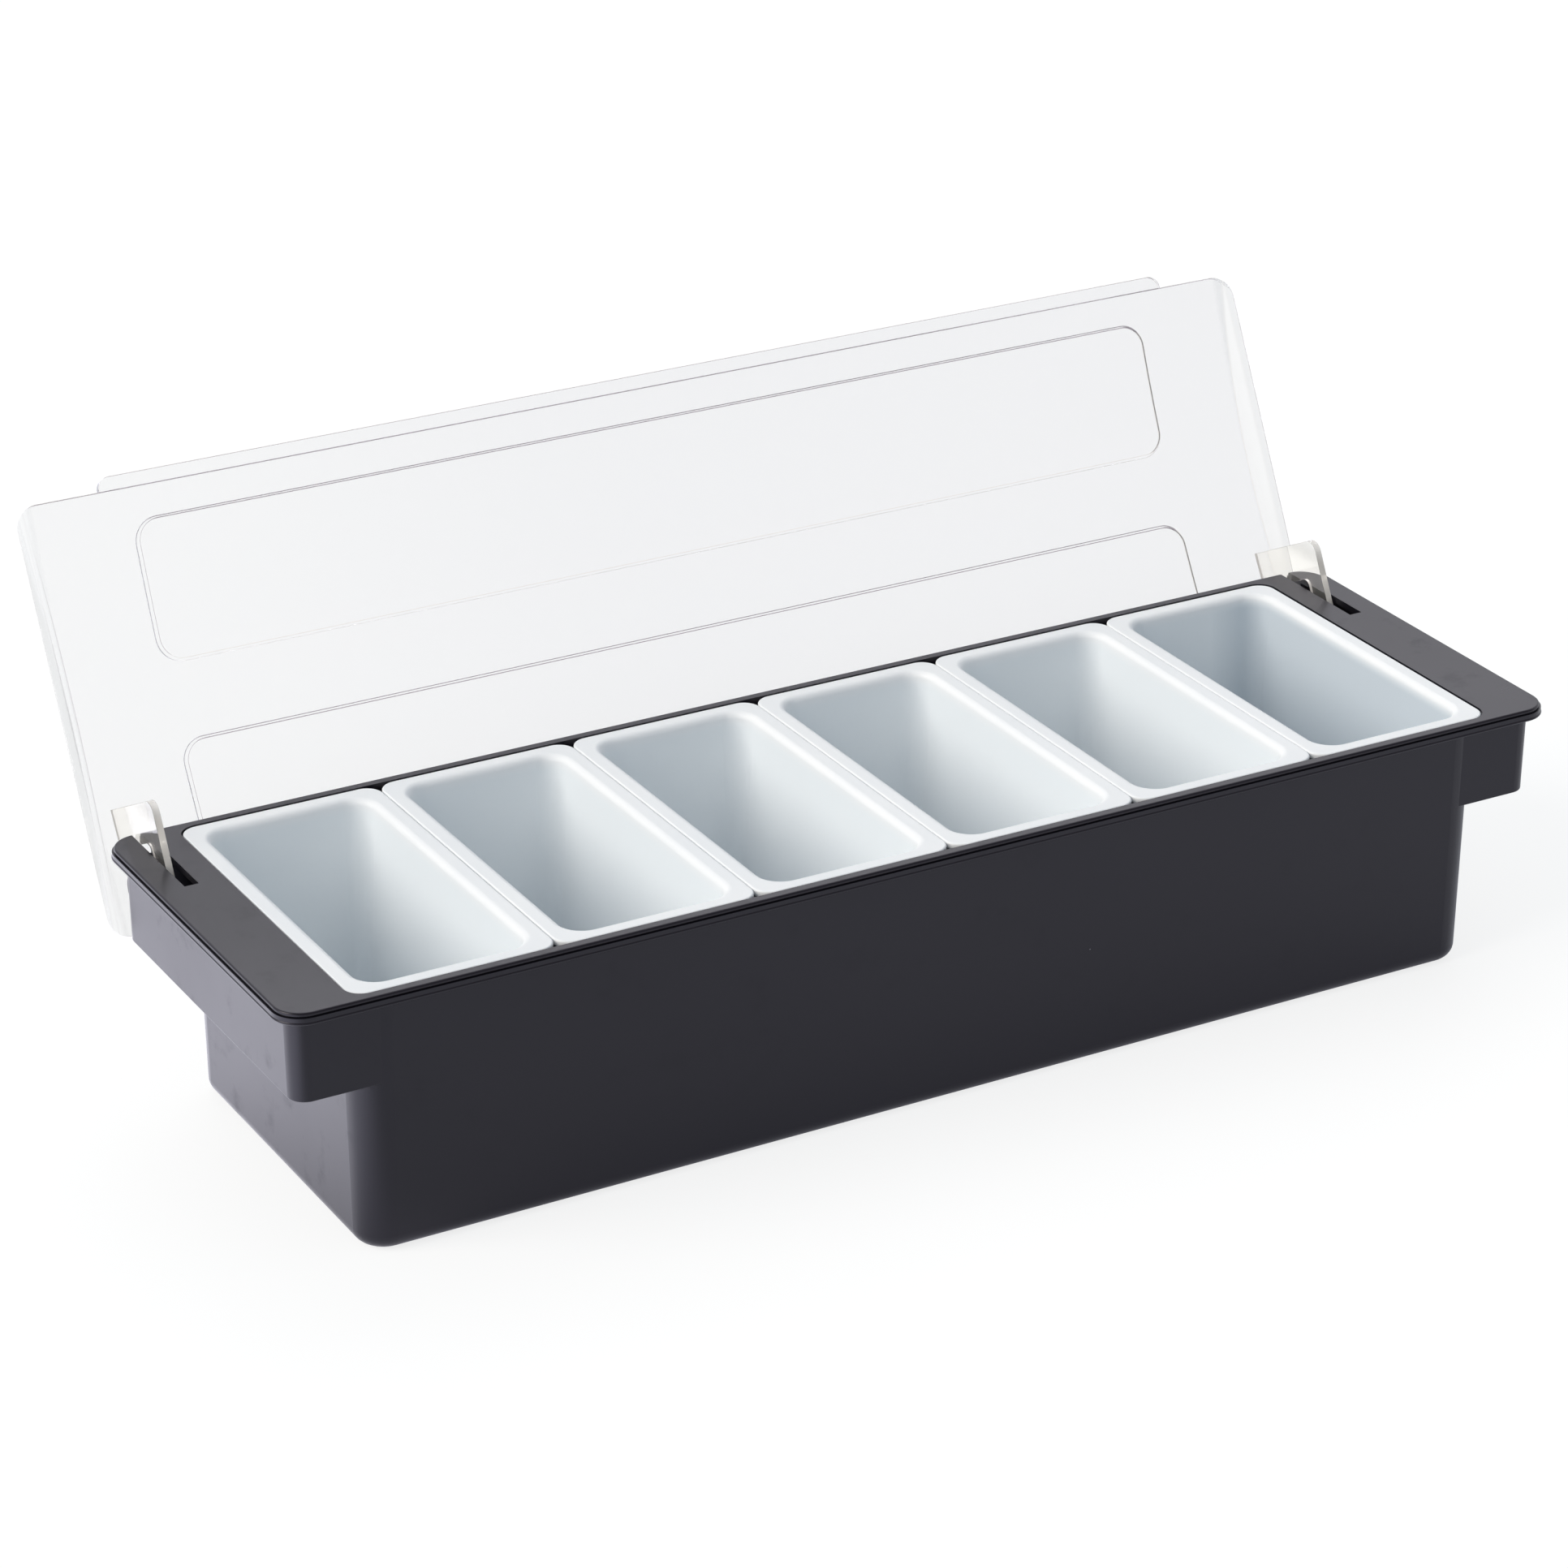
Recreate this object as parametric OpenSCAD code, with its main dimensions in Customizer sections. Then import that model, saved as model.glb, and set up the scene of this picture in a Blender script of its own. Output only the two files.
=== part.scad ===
// Condiment caddy: a black tray with six lift-out inserts under a clear hinged lid.
// Millimetres, +Z up, X along the tray, +Y to the back.
// The origin is the centre of the tray's bottom face, and the lid is drawn open.

/* [Tray] */
// Width of the rail in front of the inserts and behind them
rail_w = 3.55; // [3:0.05:8]
// Width of the flat at each end of the row
flat_w = 24.46; // [20:0.02:40]
// Ledge under the rims, front and back
ledge_side = 2.2; // [1.5:0.1:5]
// Ledge under the rims, at the ends of the row
ledge_end = 3.74; // [1.5:0.02:6]
// Clearance between the row of inserts and the flange round it
row_gap = 0.45; // [0.3:0.05:1]
// Clearance under the rims, over the ledge that they hang from
rest_gap = 0.3; // [0.3:0.05:0.6]
// Space between the inserts and the tray's floor
under_gap = 6.05; // [3:0.05:15]
// Corner radius of the flange, seen from above
flange_r = 10; // [8:0.5:16]
// Thickness of the flat flange over the end skirts
flange_t = 2.5; // [2:0.1:4]
// Height of the flange's edge, from its top to the bottom of the bead
lip_h = 4.2; // [3:0.1:8]
// Vertical corner radius of the tub at flange level
tub_r = 12.6; // [8:0.1:20]
// Radius between the tub's walls and its bottom
tub_foot_r = 5.7; // [3:0.1:8]
// Wall and floor thickness of the tray
tray_wall = 2; // [1.6:0.1:4]
// Draft angle of the tray's walls
tray_draft = 0.8; // [0.5:0.1:2]

/* [Flange edge] */
// How far the lip under the top plate stands out past it
lip_out = 0.7; // [0.3:0.1:1.5]
// Height of the top plate's edge
edge_h = 1.2; // [0.8:0.1:2]
// Rounding of the top plate's edge
edge_r = 0.8; // [0.4:0.1:1.2]
// Height of the groove between top plate and lip
groove_h = 0.4; // [0.2:0.1:0.8]
// Depth of the groove behind the top plate's edge
groove_d = 0.4; // [0.2:0.1:1]
// Radius of the bead along the lip's lower edge
bead_r = 0.6; // [0.4:0.1:1]
// How far the bead stands out past the lip
bead_out = 0.25; // [0.1:0.05:0.35]

/* [End skirts] */
// How far the flange stands out past a skirt's end wall
skirt_in = 3.6; // [2:0.1:8]
// How far a skirt's front and back stand behind the tub's faces
skirt_step = 0.6; // [0.3:0.1:2]
// Height of the skirts below the top of the flange
skirt_h = 34.9; // [20:0.1:60]
// Vertical corner radius of the skirts
skirt_r = 6.75; // [4:0.05:12]
// Rounding of the skirts' bottom edge, outside
skirt_edge_r = 0.5; // [0.3:0.1:0.8]
// Radius between the flange and the walls under it
under_r = 1.5; // [0.5:0.1:3]

/* [Inserts] */
// Number of inserts in the row
insert_count = 6; // [6:1:6]
// Distance from one insert to the next
insert_pitch = 75.08; // [60:0.01:100]
// Gap between the rims of two neighbours
insert_gap = 0.3; // [0.3:0.05:1]
// Length of an insert's rim, front to back
insert_l = 142; // [90:0.5:200]
// Thickness of the rim
rim_t = 2.3; // [1.5:0.1:4]
// Corner radius of the rim
rim_r = 6.5; // [4:0.5:12]
// Rounding of the rim's upper edge
rim_edge_r = 0.7; // [0.3:0.1:1]
// Width of the rim along an insert's sides, to the cavity's wall
rim_side = 7; // [5:0.1:12]
// Width of the rim at an insert's front and back
rim_end = 6.3; // [5:0.1:16]
// Corner radius of the cavity at the top
cavity_r = 8.5; // [8:0.5:18]
// Radius with which the rim rolls into the cavity
mouth_r = 2.5; // [1:0.1:4]
// Radius between the cavity's walls and its bottom
cavity_foot_r = 3.5; // [1:0.5:3.5]
// Wall and floor thickness of an insert
insert_wall = 1.6; // [1.2:0.1:2]
// Taper of an insert's walls
insert_taper = 3; // [1:0.5:3]
// Height of an insert
insert_h = 90.3; // [50:0.1:140]
// Radius between the underside of the rim and the wall
rim_under_r = 1; // [0.5:0.1:1.2]
// Depth of the rim's top below the top of the flange
rim_drop = 0.15; // [0:0.05:1]

/* [Lid] */
// How far the lid's ends stand out past the flange
lid_over = 1; // [0:0.1:4]
// How much wider the lid is than the flange, front to back
lid_extra = 2.3; // [0:0.1:6]
// Height of the lid's arch over its rim
arch_h = 7.7; // [4:0.1:16]
// Thickness of the lid
lid_t = 2.5; // [1.5:0.1:4]
// Corner radius of the lid
lid_r = 9; // [4:0.5:16]
// Lean of the lid's end walls
end_lean = 38; // [20:1:50]
// Distance of the finger lip from the lid's ends
grip_inset = 32; // [15:0.5:80]
// Width of the finger lip beyond the front edge
grip_w = 4.9; // [3:0.1:15]
// Thickness of the finger lip
grip_t = 2.2; // [1.5:0.1:3]
// Corner radius of the finger lip
grip_r = 4.5; // [2:0.1:6]
// How far the finger lip reaches in under the front edge
grip_root = 2.2; // [1:0.1:4]
// Distance of the pressed panels from the lid's ends
panel_inset = 43.4; // [20:0.2:80]
// Distance of the panels from the lid's long edges
panel_margin = 12.25; // [8:0.05:25]
// Distance from the lid's middle line to a panel's near edge
panel_from_mid = 14.4; // [5:0.1:25]
// Corner radius of the panels
panel_r = 8; // [3:0.5:16]
// Height of the panels' step
panel_step = 0.9; // [0.4:0.1:1.5]

/* [Lid hinge] */
// Lean of the open lid past upright
open_lean = 27.14; // [10:0.02:40]
// Distance of the hinge axis in front of the skirt's back wall
pivot_from_wall = 6.15; // [5.5:0.05:12]
// Height of the hinge axis below the top of the flange
pivot_drop = 14.8; // [12:0.1:20]
// Height of the hinge axis over the lid's rear edge, along the lid
pivot_up = 15.6; // [10:0.1:25]
// Distance of the hinge axis inside the lid's rim plane
pivot_in = 17.7; // [12:0.1:25]
// Thickness of a hinge arm
arm_t = 2.5; // [1.5:0.1:4]
// Width of the arm's bar
arm_bar = 14; // [8:0.5:20]
// Reach of the arm inside the lid's rim plane
arm_reach = 38; // [30:0.5:45]
// Width of the arm's leg
arm_leg = 9.5; // [6:0.5:14]
// Rounding of the arm's front corner
arm_front_r = 5; // [1:0.5:7]
// Rounding of the arm's hook corner
arm_hook_r = 7; // [1:0.5:9]
// Radius of the inner corner between bar and leg
arm_inner_r = 3; // [1:0.5:5]
// Height of the bar's lower edge over the hinge axis, along the lid
bar_up = 14.7; // [10:0.1:20]
// Radius of the eye round the pin
eye_r = 4.6; // [3.5:0.1:5]
// Diameter of the hinge pin
pin_d = 5; // [3:0.1:6]
// Radial play of the pin in its seat
pin_play = 0.05; // [0.01:0.01:0.1]
// Diameter of the boss round the seat
boss_d = 11; // [8:0.5:11]
// Length of the boss, out from the skirt's end wall
boss_len = 4.15; // [3.5:0.05:6]
// Gap between a hinge arm and its boss
boss_gap = 0.8; // [0.3:0.05:1.5]
// Depth of the seat in the boss
seat_depth = 3; // [2:0.1:3.5]
// Clearance behind the pin's end
pin_end_gap = 0.3; // [0.3:0.05:0.6]
// Width of the slot for a hinge arm
slot_w = 5.2; // [4:0.1:8]
// Room between the slot's front end and the arm's path
slot_room = 2.9; // [0.5:0.1:6]
// Room under the open arm's bar, down to the notch in the back wall
notch_room = 1; // [0.4:0.1:2]

/* [Hidden] */
$fn = 96;
// Overlap of cutting bodies past the faces that they open
eps = 1;
// Extra radius by which a foot's arc crosses the wall that it runs into
tuck = 0.002;

insert_w = insert_pitch - insert_gap;
cavity_w = insert_w - 2 * rim_side;
cavity_l = insert_l - 2 * rim_end;

// Tray: the opening fits the row of inserts, and flange, tub and skirts follow it
opening_l = insert_count * insert_pitch - insert_gap + 2 * row_gap;
opening_w = insert_l + 2 * row_gap;
flange_l = opening_l + 2 * flat_w;
flange_w = opening_w + 2 * rail_w;
tub_l = opening_l - 2 * ledge_end + 2 * tray_wall;
tub_w = opening_w - 2 * ledge_side + 2 * tray_wall;
skirt_l = flange_l - 2 * skirt_in;
skirt_w = tub_w - 2 * skirt_step;
tray_h = tray_wall + under_gap + insert_h + rim_drop;
rim_top = tray_h - rim_drop;
ledge_z = rim_top - rim_t - rest_gap;
skirt_z = tray_h - skirt_h;
lip_z = tray_h - lip_h;
plate_z = tray_h - flange_t;
edge_out = lip_out + bead_out;
edge_blank = edge_out + eps;
edge_room = edge_blank + eps;

// Lid frame: y is toward the hinge, z is outward, zero in the middle of the rim
lid_l = flange_l + 2 * lid_over;
lid_w = flange_w + lid_extra;
lid_mid = lid_w / 2;
arch_rise = arch_h - lid_t;
arch_r = (lid_mid * lid_mid + arch_rise * arch_rise) / (2 * arch_rise);
arch_axis = arch_h - arch_r;
grip_l = lid_l - 2 * grip_inset;
panel_l = lid_l - 2 * panel_inset;
panel_w = lid_mid - panel_from_mid - panel_margin;

// Hinge: the axis in the tray and in the lid, and the arm's place beside its boss
pivot_y = skirt_w / 2 - tray_wall - pivot_from_wall;
pivot_z = tray_h - pivot_drop;
pivot_lid_y = lid_mid - pivot_up;
bar_rear = pivot_lid_y - bar_up;
bar_front = bar_rear - arm_bar;
boss_x = skirt_l / 2 - tray_wall - boss_len;
arm_x = boss_x - boss_gap - arm_t / 2;

// The slot ends where the arm's front corner swings up through the flange
corner_y = bar_up + arm_bar - arm_front_r;
corner_z = arm_reach - pivot_in - arm_front_r;
swing_r = sqrt(corner_y * corner_y + corner_z * corner_z) + arm_front_r;
swing_z = plate_z - pivot_z;
slot_y = pivot_y - sqrt(swing_r * swing_r - swing_z * swing_z) - slot_room;

// The notch lies under the open arm's bar where it crosses the flange's back edge
bar_out = (pivot_y + bar_up * sin(open_lean) - flange_w / 2 - edge_out) / cos(open_lean);
notch_z = pivot_z + bar_up * cos(open_lean) + bar_out * sin(open_lean) - notch_room;

// Flat half section of a straight leaning wall with a rounded foot, from the middle
// line of its corner out to the wall: edge is the distance at the height h
module wall_section(edge, h, foot, lean) {
  base = edge - h * tan(lean);
  foot_x = base + foot * tan(lean) - foot / cos(lean);
  polygon([
    [0, 0], [foot_x, 0], [foot_x, foot],
    [foot_x + foot * cos(lean), foot - foot * sin(lean)],
    [edge, h], [0, h]
  ]);
  intersection() {
    translate([foot_x, foot])
      circle(foot + tuck);
    translate([foot_x, 0])
      square(2 * foot);
  }
}

// Half section of a cavity with a leaning wall, a rounded foot and a mouth that rolls
// out into the rim above it
module cavity_section(edge, h, foot, roll, lean) {
  base = edge - h * tan(lean);
  foot_x = base + foot * tan(lean) - foot / cos(lean);
  roll_x = edge - roll * tan(lean) + roll / cos(lean);
  roll_z = h - roll;
  touch_x = roll_x - roll * cos(lean);
  touch_z = roll_z + roll * sin(lean);
  difference() {
    union() {
      polygon([
        [0, 0], [foot_x, 0], [foot_x, foot],
        [foot_x + foot * cos(lean), foot - foot * sin(lean)],
        [touch_x, touch_z], [roll_x, touch_z], [roll_x, h + eps], [0, h + eps]
      ]);
      intersection() {
        translate([foot_x, foot])
          circle(foot + tuck);
        translate([foot_x, 0])
          square(2 * foot);
      }
    }
    translate([roll_x, roll_z])
      circle(roll);
  }
}

// Flat plate section with a rounded upper edge
module plate_section(edge, t, r) {
  square([edge, t - r]);
  square([edge - r, t]);
  translate([edge - r, t - r])
    circle(r);
}

// Concave fillet between a wall at x = 0 and a face above it at y = 0
module fillet_section(r) {
  difference() {
    translate([-eps, -r])
      square([r + eps, r + eps]);
    translate([r, -r])
      circle(r);
  }
}

// Sweeps a section round a rectangle whose corners turn about (cx, cy)
module sweep_round(cx, cy) {
  for (turn = [0, 180])
    rotate([0, 0, turn]) {
      translate([-cx, cy, 0])
        rotate([90, 0, 90])
          linear_extrude(2 * cx)
            children();
      translate([cx, cy, 0])
        rotate_extrude(angle = 90)
          children();
      rotate([0, 0, 90])
        translate([-cy, cx, 0])
          rotate([90, 0, 90])
            linear_extrude(2 * cy)
              children();
      translate([-cx, cy, 0])
        rotate([0, 0, 90])
          rotate_extrude(angle = 90)
            children();
    }
}

// The same sweep with its middle filled from z = 0 to h
module sweep_block(cx, cy, h) {
  sweep_round(cx, cy)
    children();
  translate([-cx, -cy, 0])
    cube([2 * cx, 2 * cy, h]);
}

// Upright block with rounded corners, centred in X and Y
module rounded_block(l, w, h, r) {
  linear_extrude(h) {
    square([l - 2 * r, w], center = true);
    square([l, w - 2 * r], center = true);
    for (x = [-1, 1], y = [-1, 1])
      translate([x * (l / 2 - r), y * (w / 2 - r)])
        circle(r);
  }
}

// Outside of the tub, with its leaning walls and rounded bottom edge
module tub_body(in = 0, floor_z = 0, top = tray_h) {
  r = tub_r - in;
  foot = max(tub_foot_r - in, 1);
  translate([0, 0, floor_z])
    sweep_block(tub_l / 2 - tub_r, tub_w / 2 - tub_r, top - floor_z)
      wall_section(r - (tray_h - top) * tan(tray_draft), top - floor_z, foot, tray_draft);
}

// Outside of the band that forms the end skirts
module skirt_body(in = 0, below = 0, top = tray_h) {
  r = skirt_r - in;
  h = top - skirt_z + below;
  translate([0, 0, skirt_z - below])
    sweep_block(skirt_l / 2 - skirt_r, skirt_w / 2 - skirt_r, h)
      wall_section(r - (tray_h - top) * tan(tray_draft), h, skirt_edge_r, tray_draft);
}

// What is taken off the flange's outer edge, to leave the top plate with its rounded
// edge, the groove under it, the lip and the bead along the lip's lower edge
module edge_cut() {
  lip_x = flange_r + lip_out;
  bead_x = lip_x + bead_out - bead_r;
  bead_z = bead_r - lip_h;
  translate([0, 0, tray_h])
    sweep_round(flange_l / 2 - flange_r, flange_w / 2 - flange_r) {
      translate([flange_r, -edge_h])
        square([edge_room, edge_h + eps]);
      translate([flange_r - groove_d, -edge_h - groove_h])
        square([groove_d + edge_room, groove_h]);
      difference() {
        translate([flange_r - edge_r, -edge_r])
          square(edge_r + eps);
        translate([flange_r - edge_r, -edge_r])
          circle(edge_r);
      }
      difference() {
        union() {
          translate([lip_x, bead_z])
            square([edge_room, lip_h - bead_r - edge_h]);
          translate([bead_x, -lip_h - eps])
            square([bead_r + edge_room, bead_r + eps]);
        }
        translate([bead_x, bead_z])
          circle(bead_r);
      }
    }
}

// Fillet between the flange's underside and the walls of a body of that size
module under_fillet(l, w, r) {
  translate([0, 0, lip_z])
    sweep_round(l / 2 - r, w / 2 - r)
      translate([r - lip_h * tan(tray_draft), 0])
        fillet_section(under_r);
}

module tray() {
  color([0.13, 0.13, 0.14])
    difference() {
      union() {
        difference() {
          union() {
            tub_body(top = plate_z);
            skirt_body(top = plate_z);
            under_fillet(skirt_l, skirt_w, skirt_r);
            under_fillet(tub_l, tub_w, tub_r);
            translate([0, 0, lip_z])
              rounded_block(
                flange_l + 2 * edge_blank, flange_w + 2 * edge_blank, lip_h, flange_r + edge_blank
              );
          }
          end_pockets();
        }
        for (side = [0, 1])
          mirror([side, 0, 0])
            pin_boss();
      }
      tub_body(in = tray_wall, floor_z = tray_wall, top = tray_h);
      translate([0, 0, ledge_z])
        rounded_block(opening_l, opening_w, tray_h, rim_r + row_gap);
      edge_cut();
      for (side = [0, 1])
        mirror([side, 0, 0]) {
          arm_slots();
          pin_seat();
        }
    }
}

// Hollow of both end skirts, open at the bottom, round the outside of the tub
module end_pockets() {
  difference() {
    skirt_body(in = tray_wall, below = eps, top = plate_z);
    tub_body(top = tray_h);
  }
}

// Boss on the inside of an end skirt that carries the seat of the hinge pin
module pin_boss() {
  translate([boss_x, pivot_y, pivot_z])
    rotate([0, 90, 0])
      cylinder(d = boss_d, h = boss_len + tray_wall / 2);
}

// Blind seat of the hinge pin
module pin_seat() {
  translate([boss_x - eps, pivot_y, pivot_z])
    rotate([0, 90, 0])
      cylinder(r = pin_d / 2 + pin_play, h = seat_depth + eps);
}

// Slot through an end flange with its notch through the lip and the back wall
module arm_slots() {
  translate([boss_x - slot_w, slot_y, notch_z])
    cube([slot_w, flange_w, tray_h - notch_z + eps]);
}

// One insert: a tapered cup that hangs by its rolled rim
module insert_cup(place) {
  cx = cavity_w / 2 - cavity_r;
  cy = cavity_l / 2 - cavity_r;
  row_x = (place - (insert_count + 1) / 2) * insert_pitch;
  wall = insert_wall / cos(insert_taper);
  body_h = insert_h - rim_t / 2;
  cavity_h = insert_h - insert_wall;
  translate([row_x, 0, rim_top - insert_h])
    difference() {
      union() {
        sweep_block(cx, cy, body_h)
          wall_section(
            cavity_r + wall - rim_t / 2 * tan(insert_taper), body_h,
            cavity_foot_r + insert_wall, insert_taper
          );
        translate([0, 0, insert_h - rim_t]) {
          sweep_block(insert_w / 2 - rim_r, insert_l / 2 - rim_r, rim_t)
            plate_section(rim_r, rim_t, rim_edge_r);
          sweep_round(cx, cy)
            translate([cavity_r + wall - rim_t * tan(insert_taper), 0])
              fillet_section(rim_under_r);
        }
      }
      translate([0, 0, insert_wall])
        sweep_block(cx, cy, cavity_h + eps)
          cavity_section(cavity_r, cavity_h, cavity_foot_r, mouth_r, insert_taper);
    }
}

module insert_1() {
  color([0.88, 0.91, 0.94])
    insert_cup(1);
}

module insert_2() {
  color([0.88, 0.91, 0.94])
    insert_cup(2);
}

module insert_3() {
  color([0.88, 0.91, 0.94])
    insert_cup(3);
}

module insert_4() {
  color([0.88, 0.91, 0.94])
    insert_cup(4);
}

module insert_5() {
  color([0.88, 0.91, 0.94])
    insert_cup(5);
}

module insert_6() {
  color([0.88, 0.91, 0.94])
    insert_cup(6);
}

// Brings a body from the lid's own frame to its open place on the tray
module open_place() {
  translate([0, pivot_y, pivot_z])
    rotate([-90 - open_lean, 0, 0])
      translate([0, -pivot_lid_y, pivot_in])
        children();
}

// Cylinder of the arch, larger or smaller than the lid's outside by grow
module arch_body(grow) {
  translate([-lid_l / 2 - eps, 0, arch_axis])
    rotate([0, 90, 0])
      cylinder(r = arch_r + grow, h = lid_l + 2 * eps, $fn = 720);
}

// Space between the two leaning end walls, each moved inward by in
module end_walls(in) {
  foot = lid_l / 2 - in / cos(end_lean);
  top = 2 * arch_h;
  translate([0, lid_w, 0])
    rotate([90, 0, 0])
      linear_extrude(2 * lid_w)
        polygon([
          [-foot, 0], [foot, 0],
          [foot - top * tan(end_lean), top], [top * tan(end_lean) - foot, top]
        ]);
}

// Places a block over both pressed panels
module panels(grow, top) {
  for (side = [-1, 1])
    translate([0, side * (panel_from_mid + panel_w / 2), 0])
      rounded_block(panel_l + 2 * grow, panel_w + 2 * grow, top, panel_r + grow);
}

// Lip along the front edge, from its root under the edge to its rounded ends
module finger_lip() {
  intersection() {
    translate([0, -lid_mid, 0])
      rounded_block(grip_l, 2 * grip_w, grip_t, grip_r);
    translate([-lid_l / 2, -lid_mid - 2 * grip_w, 0])
      cube([lid_l, 2 * grip_w + grip_root, grip_t]);
  }
}

module lid() {
  color([0.93, 0.94, 0.97, 0.4])
    open_place() {
      difference() {
        union() {
          intersection() {
            rounded_block(lid_l, lid_w, 2 * arch_h, lid_r);
            arch_body(0);
            end_walls(0);
          }
          intersection() {
            panels(panel_step, 2 * arch_h);
            arch_body(panel_step);
          }
          finger_lip();
        }
        intersection() {
          translate([0, 0, -eps])
            rounded_block(lid_l, lid_w, 2 * arch_h, lid_r);
          arch_body(-lid_t);
          end_walls(lid_t);
        }
        intersection() {
          panels(0, 2 * arch_h);
          arch_body(panel_step - lid_t);
        }
      }
    }
}

// Outline of a hinge arm, seen along X in the lid's frame
module arm_outline() {
  leg_front = -arm_reach;
  leg_rear = arm_leg - arm_reach;
  hook_end = pivot_lid_y + eye_r;
  difference() {
    union() {
      // Bar from the lid to the front corner
      translate([bar_front, leg_front + arm_front_r])
        square([arm_bar, arm_reach + arch_h]);
      translate([bar_front + arm_front_r, leg_front])
        square([arm_bar, arm_leg]);
      translate([bar_front + arm_front_r, leg_front + arm_front_r])
        circle(arm_front_r);
      // Leg along the front
      translate([bar_rear - eps, leg_front])
        square([hook_end - arm_hook_r - bar_rear + eps, arm_leg]);
      translate([bar_rear - eps, leg_rear - eps])
        square(arm_inner_r + eps);
      // Hook back to the eye
      translate([hook_end - arm_hook_r, leg_front + arm_hook_r])
        circle(arm_hook_r);
      translate([pivot_lid_y - eye_r, leg_front + arm_hook_r])
        square([2 * eye_r, arm_reach - pivot_in - arm_hook_r]);
      translate([pivot_lid_y, -pivot_in])
        circle(eye_r);
    }
    translate([bar_rear + arm_inner_r, leg_rear + arm_inner_r])
      circle(arm_inner_r);
  }
}

// One hinge arm on the right: flat plate, its edge bonded to the arch, and the pin
module hinge_arm() {
  intersection() {
    translate([arm_x - arm_t / 2, 0, 0])
      rotate([90, 0, 90])
        linear_extrude(arm_t)
          arm_outline();
    arch_body(-lid_t);
  }
  translate([arm_x, pivot_lid_y, -pivot_in])
    rotate([0, 90, 0])
      cylinder(d = pin_d, h = arm_t / 2 + boss_gap + seat_depth - pin_end_gap);
}

module hinge_arm_left() {
  color([0.95, 0.93, 0.88, 0.6])
    open_place()
      mirror([1, 0, 0])
        hinge_arm();
}

module hinge_arm_right() {
  color([0.95, 0.93, 0.88, 0.6])
    open_place()
      hinge_arm();
}

tray();
insert_1();
insert_2();
insert_3();
insert_4();
insert_5();
insert_6();
lid();
hinge_arm_left();
hinge_arm_right();
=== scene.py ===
"""Photographic look of the condiment caddy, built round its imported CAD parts.

The CAD frame gives every shape that moves or mates.  This script gives each part its
plastic, adds the studio round it and places the camera that took the photograph.
All lengths are metres in the row frame: +X along the inserts, +Y to the hinge, +Z up.
"""

import logging
import math
from dataclasses import dataclass
from enum import Enum

import bpy
import numpy as np
from mathutils import Matrix

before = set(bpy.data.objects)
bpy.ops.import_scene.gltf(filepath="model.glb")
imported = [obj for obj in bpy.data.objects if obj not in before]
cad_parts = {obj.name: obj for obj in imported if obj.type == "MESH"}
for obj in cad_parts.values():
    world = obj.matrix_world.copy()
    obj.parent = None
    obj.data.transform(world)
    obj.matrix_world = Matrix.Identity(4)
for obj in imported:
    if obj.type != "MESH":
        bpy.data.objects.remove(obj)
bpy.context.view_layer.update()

LOG = logging.getLogger("caddy")
MM = 0.001
# A noise texture stays mostly between these two values
NOISE_LOW, NOISE_HIGH = 0.3, 0.7


class Slot(Enum):
    """The record's material slots."""

    TRAY = "tray_plastic"
    INSERT = "insert_plastic"
    LID = "lid_plastic"
    ARM = "arm_plastic"


def linear(hex_colour: str) -> tuple[float, float, float, float]:
    """Turns an sRGB colour into the linear values that a shader reads.

    Args:
        hex_colour: six hexadecimal digits, red first, such as "1f1d21".

    Returns:
        Linear red, green and blue from 0 to 1, and an alpha of 1.
    """
    parts = np.array([int(hex_colour[i:i + 2], 16) for i in (0, 2, 4)]) / 255.0
    low = parts / 12.92
    high = ((parts + 0.055) / 1.055) ** 2.4
    red, green, blue = np.where(parts <= 0.04045, low, high)
    return float(red), float(green), float(blue), 1.0


def add_node(tree: bpy.types.NodeTree, kind: str,
             links: dict[str | int, bpy.types.NodeSocket] | None = None,
             values: dict[str | int, object] | None = None,
             **settings: object) -> bpy.types.Node:
    """Adds one shader node, wired and set in one call.

    Args:
        tree: the node tree that gets it.
        kind: the node's type name, such as "ShaderNodeTexNoise".
        links: input name or index to the output socket that feeds it.
        values: input name or index to a constant.
        settings: attributes of the node itself.

    Returns:
        The new node.
    """
    node = tree.nodes.new(kind)
    for name, value in settings.items():
        setattr(node, name, value)
    for name, value in (values or {}).items():
        node.inputs[name].default_value = value
    for name, socket in (links or {}).items():
        tree.links.new(socket, node.inputs[name])
    return node


def new_material(name: str) -> tuple[bpy.types.Material, bpy.types.NodeTree]:
    """Makes an empty node material.

    Args:
        name: the material's name.

    Returns:
        The material and its cleared node tree.
    """
    material = bpy.data.materials.new(name)
    material.use_nodes = True
    material.node_tree.nodes.clear()
    return material, material.node_tree


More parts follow.
